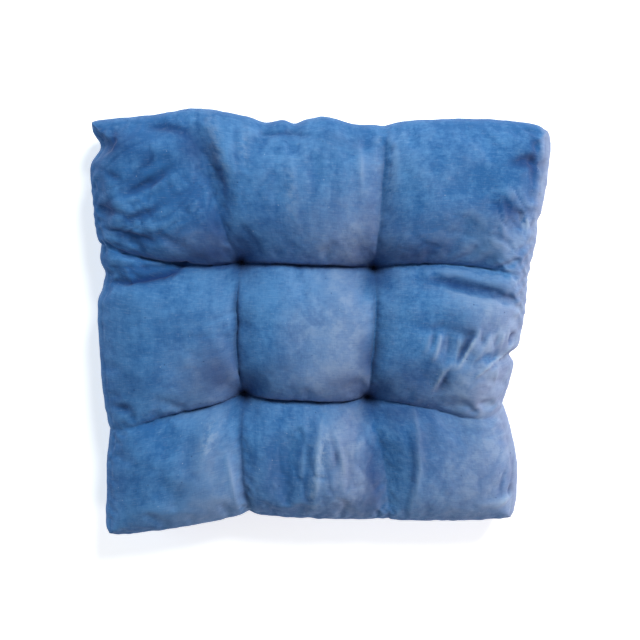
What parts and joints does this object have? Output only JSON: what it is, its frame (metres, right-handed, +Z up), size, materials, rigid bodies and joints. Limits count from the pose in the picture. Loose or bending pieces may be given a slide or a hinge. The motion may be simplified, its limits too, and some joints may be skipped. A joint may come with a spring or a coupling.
{
  "type": "chair cushion",
  "caption": "Square padded chair cushion in blue linen-look cloth, with a tufted face of soft pads between sewn-in channels and a stitched side band.",
  "frame": {"origin": "on the seat plane, under the middle of the cushion's box", "axes": "+Z up out of the tufted face as the cushion lies on its back, +Y to the wider edge, +X to the right of the face with that edge at the far side"},
  "size_m": [0.4202, 0.4006, 0.0783],
  "materials": {
    "cover_cloth": "matte washed linen, slubbed and slightly faded"
  },
  "bodies": {
    "root": {"tufted_cushion": "cover_cloth"}
  },
  "joints": []
}
